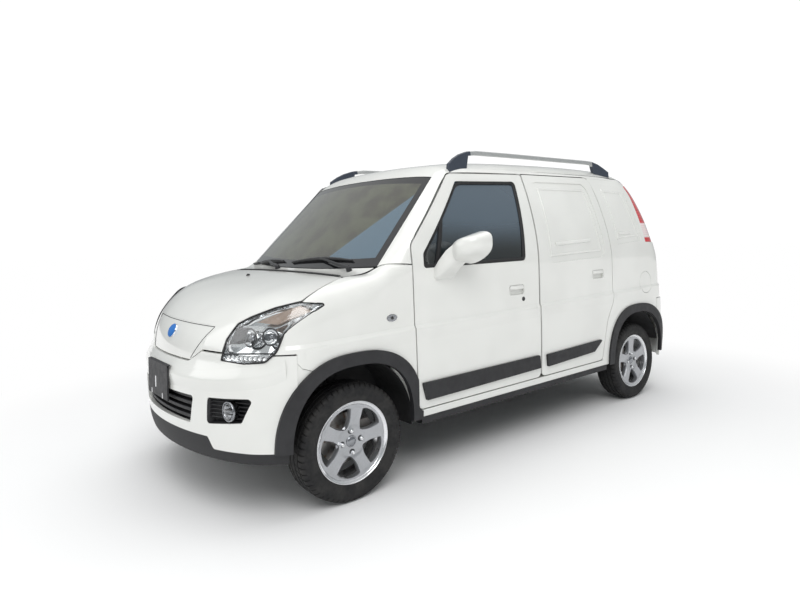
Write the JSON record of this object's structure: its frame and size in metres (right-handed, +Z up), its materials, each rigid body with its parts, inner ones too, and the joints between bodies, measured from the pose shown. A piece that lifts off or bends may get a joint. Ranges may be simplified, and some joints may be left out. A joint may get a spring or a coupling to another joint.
{
  "type": "compact panel van",
  "caption": "Small tall panel van with side doors, tailgate, bonnet, steered front wheels and roof rails.",
  "frame": {"origin": "on the ground under the middle of the part's box", "axes": "-Y is the front of the van, +X its left side, +Z up"},
  "size_m": [1.9856, 3.39, 1.7035],
  "materials": {
    "paint": "gloss",
    "glass_clear": "gloss",
    "black_plastic": "matte",
    "lamp_lens": "gloss",
    "red_lens": "gloss",
    "silver_rail": "satin",
    "wheel_silver": "satin",
    "tyre_rubber": "matte",
    "iron": "satin",
    "chassis_black": "satin",
    "dash_plastic": "matte",
    "seat_fabric": "matte"
  },
  "bodies": {
    "body": {"body_side_left": "paint", "body_side_right": "paint", "windscreen": "glass_clear", "roof_panel": "paint", "front_wing_left": "paint", "front_wing_right": "paint", "front_bumper": "paint", "grille_insert": "black_plastic", "fog_lamps": "black_plastic", "rear_bumper": "paint", "headlamps": "lamp_lens", "tail_lamps": "red_lens", "arch_and_sill_trims": "black_plastic", "roof_rails": "silver_rail", "bulkhead": "chassis_black", "floor_pan": "chassis_black", "front_suspension": "chassis_black", "rear_axle": "chassis_black", "drive_unit": "iron", "dashboard": "dash_plastic", "seat_left": "seat_fabric", "seat_right": "seat_fabric", "wipers": "black_plastic"},
    "bonnet": {"bonnet": "paint", "nose_panel": "paint"},
    "tailgate": {"tailgate": "paint", "tailgate_glass": "glass_clear"},
    "steering_wheel": {"steering_wheel": "dash_plastic"},
    "front_door_left": {"front_door_left": "paint", "front_glass_left": "glass_clear", "door_mirror_left": "paint", "front_moulding_left": "black_plastic"},
    "rear_door_left": {"rear_door_left": "paint", "rear_moulding_left": "black_plastic"},
    "knuckle_left": {"knuckle_left": "iron"},
    "wheel_front_left": {"tyre_front_left": "tyre_rubber", "rim_front_left": "wheel_silver", "brake_disc_left": "iron"},
    "wheel_rear_left": {"tyre_rear_left": "tyre_rubber", "rim_rear_left": "wheel_silver", "brake_drum_left": "iron"},
    "front_door_right": {"front_door_right": "paint", "front_glass_right": "glass_clear", "door_mirror_right": "paint", "front_moulding_right": "black_plastic"},
    "rear_door_right": {"rear_door_right": "paint", "rear_moulding_right": "black_plastic"},
    "knuckle_right": {"knuckle_right": "iron"},
    "wheel_front_right": {"tyre_front_right": "tyre_rubber", "rim_front_right": "wheel_silver", "brake_disc_right": "iron"},
    "wheel_rear_right": {"tyre_rear_right": "tyre_rubber", "rim_rear_right": "wheel_silver", "brake_drum_right": "iron"}
  },
  "joints": [
    {"name": "front_door_hinge_left", "type": "hinge", "parent": "body", "child": "front_door_left", "pos_m": [0.778, -0.729, 0.8], "axis": [0, 0, -1], "range_deg": [0, 62]},
    {"name": "rear_door_hinge_left", "type": "hinge", "parent": "body", "child": "rear_door_left", "pos_m": [0.778, 0.202, 0.8], "axis": [0, 0, -1], "range_deg": [0, 62]},
    {"name": "steer_left", "type": "hinge", "parent": "body", "child": "knuckle_left", "pos_m": [0.6, -1.088, 0.266], "axis": [0, 0, 1], "range_deg": [-30, 30]},
    {"name": "roll_front_left", "type": "hinge", "parent": "knuckle_left", "child": "wheel_front_left", "pos_m": [0.6715, -1.088, 0.266], "axis": [1, 0, 0], "continuous": true},
    {"name": "roll_rear_left", "type": "hinge", "parent": "body", "child": "wheel_rear_left", "pos_m": [0.6715, 1.247, 0.266], "axis": [1, 0, 0], "continuous": true},
    {"name": "front_door_hinge_right", "type": "hinge", "parent": "body", "child": "front_door_right", "pos_m": [-0.778, -0.729, 0.8], "axis": [0, 0, 1], "range_deg": [0, 62]},
    {"name": "rear_door_hinge_right", "type": "hinge", "parent": "body", "child": "rear_door_right", "pos_m": [-0.778, 0.202, 0.8], "axis": [0, 0, 1], "range_deg": [0, 62]},
    {"name": "steer_right", "type": "hinge", "parent": "body", "child": "knuckle_right", "pos_m": [-0.6, -1.088, 0.266], "axis": [0, 0, 1], "range_deg": [-30, 30]},
    {"name": "roll_front_right", "type": "hinge", "parent": "knuckle_right", "child": "wheel_front_right", "pos_m": [-0.6715, -1.088, 0.266], "axis": [1, 0, 0], "continuous": true},
    {"name": "roll_rear_right", "type": "hinge", "parent": "body", "child": "wheel_rear_right", "pos_m": [-0.6715, 1.247, 0.266], "axis": [1, 0, 0], "continuous": true},
    {"name": "bonnet_hinge", "type": "hinge", "parent": "body", "child": "bonnet", "pos_m": [0, -1.064, 1.012], "axis": [-1, 0, 0], "range_deg": [0, 50]},
    {"name": "tailgate_hinge", "type": "hinge", "parent": "body", "child": "tailgate", "pos_m": [0, 1.367, 1.62], "axis": [1, 0, 0], "range_deg": [0, 80]},
    {"name": "steering", "type": "hinge", "parent": "body", "child": "steering_wheel", "pos_m": [0.35, -0.488, 0.9556], "axis": [0, 0.9063, 0.4226], "range_deg": [-540, 540]}
  ],
  "couplings": [
    {"joint": "steer_left", "follows": "steering", "ratio": 0.0555},
    {"joint": "steer_right", "follows": "steering", "ratio": 0.0555}
  ]
}
